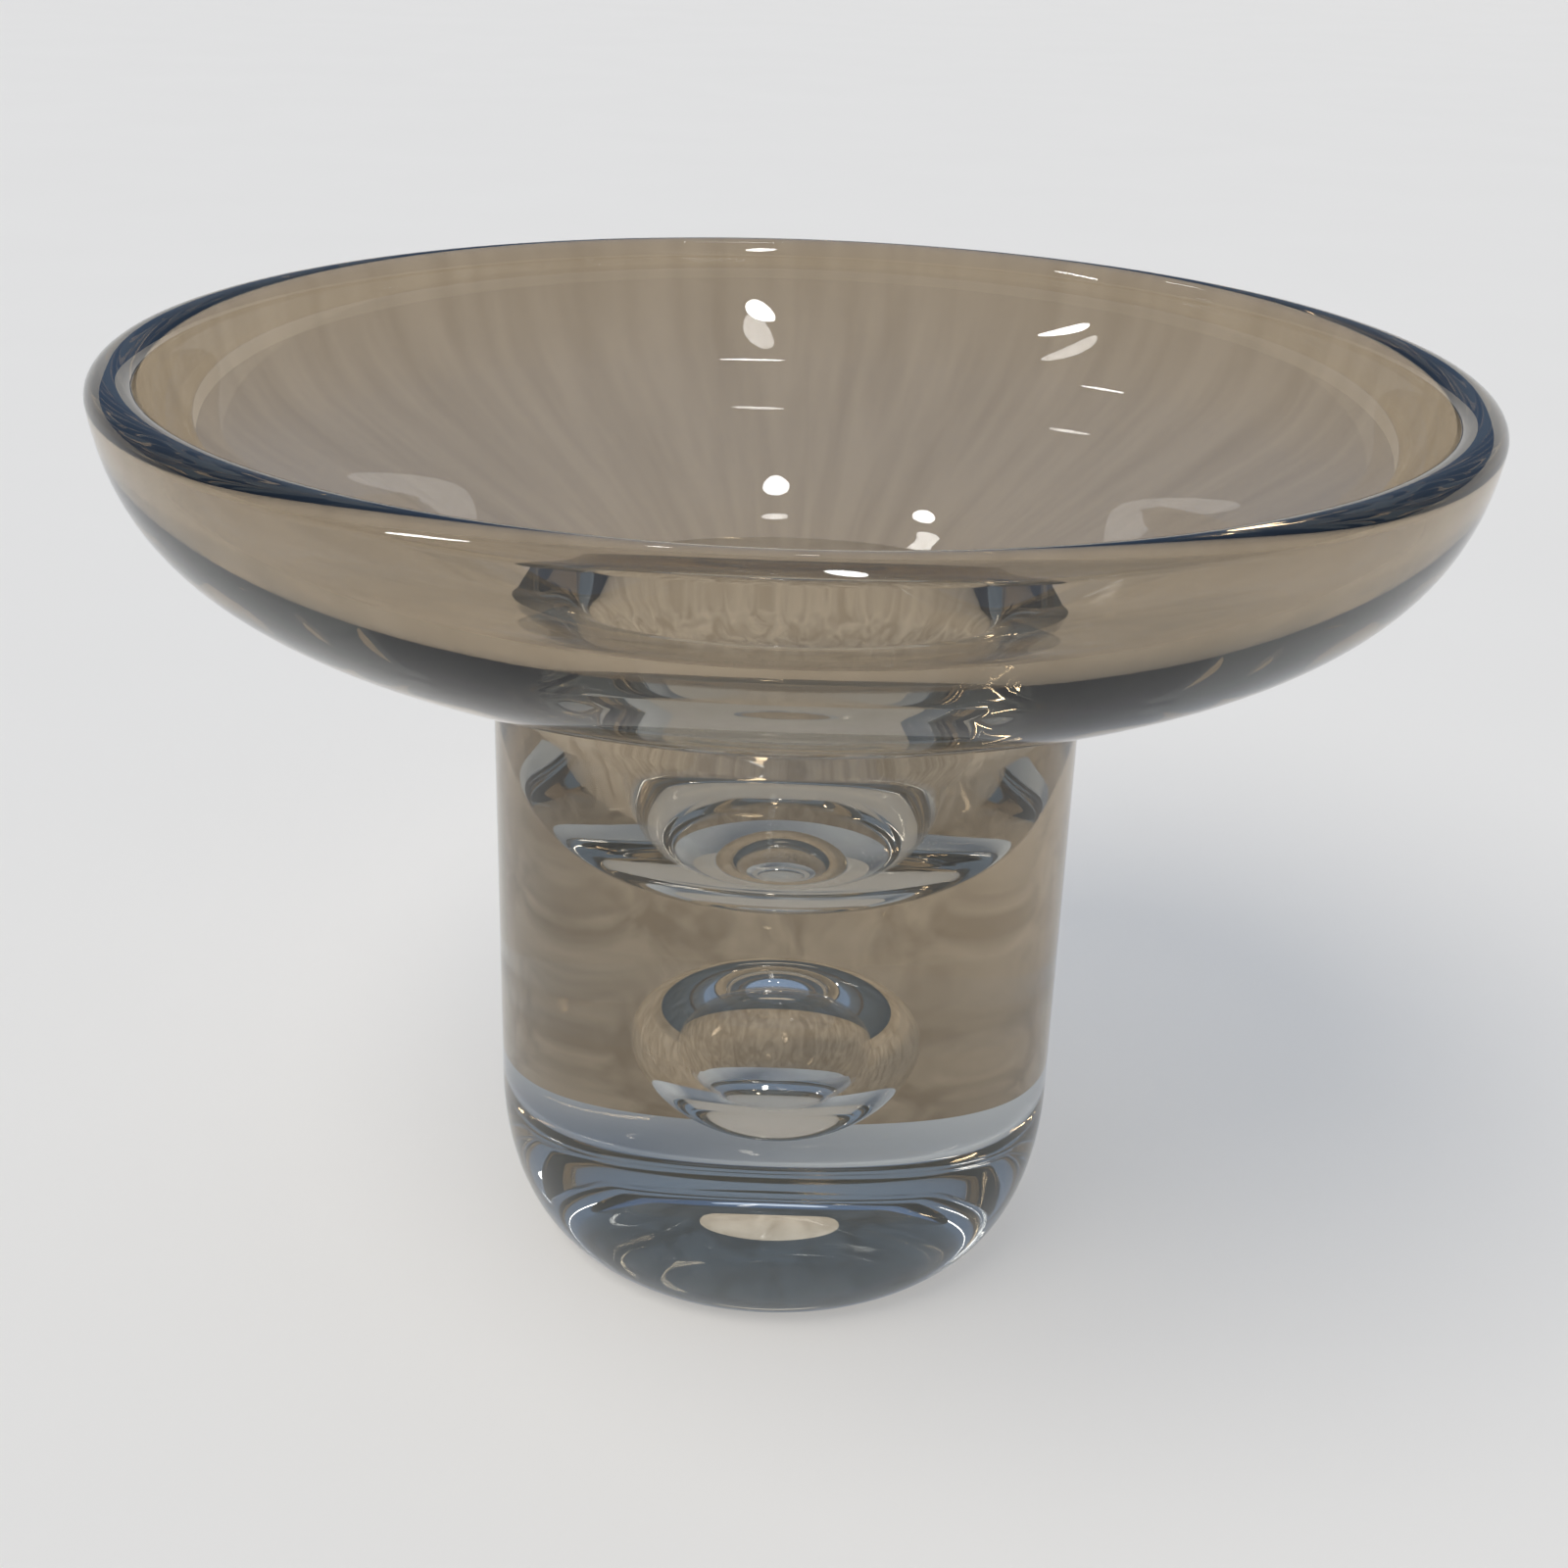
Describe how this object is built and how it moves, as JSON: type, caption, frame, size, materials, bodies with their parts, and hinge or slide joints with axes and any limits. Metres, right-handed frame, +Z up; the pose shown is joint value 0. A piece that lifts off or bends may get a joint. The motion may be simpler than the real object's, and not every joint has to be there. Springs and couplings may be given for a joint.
{
  "type": "glass candle holder",
  "caption": "Heavy clear glass candle holder: wide flared bowl with a round-bottomed candle well, thick round stem and a solid foot with a trapped air bubble.",
  "frame": {"origin": "on the table, under the centre of the foot", "axes": "+Z up along the turning axis; the bowl, stem and foot are round about it, so +X and +Y are any two directions across"},
  "size_m": [0.2, 0.2, 0.1445],
  "materials": {
    "bowl_glass": "clear fire-polished glass with a faint smoky tone",
    "stem_glass": "clear thick glass with a faint smoky tone",
    "foot_glass": "clear thick glass, blue-grey where it is deepest, polished underneath"
  },
  "bodies": {
    "root": {"bowl": "bowl_glass", "stem": "stem_glass", "foot": "foot_glass"}
  },
  "joints": []
}
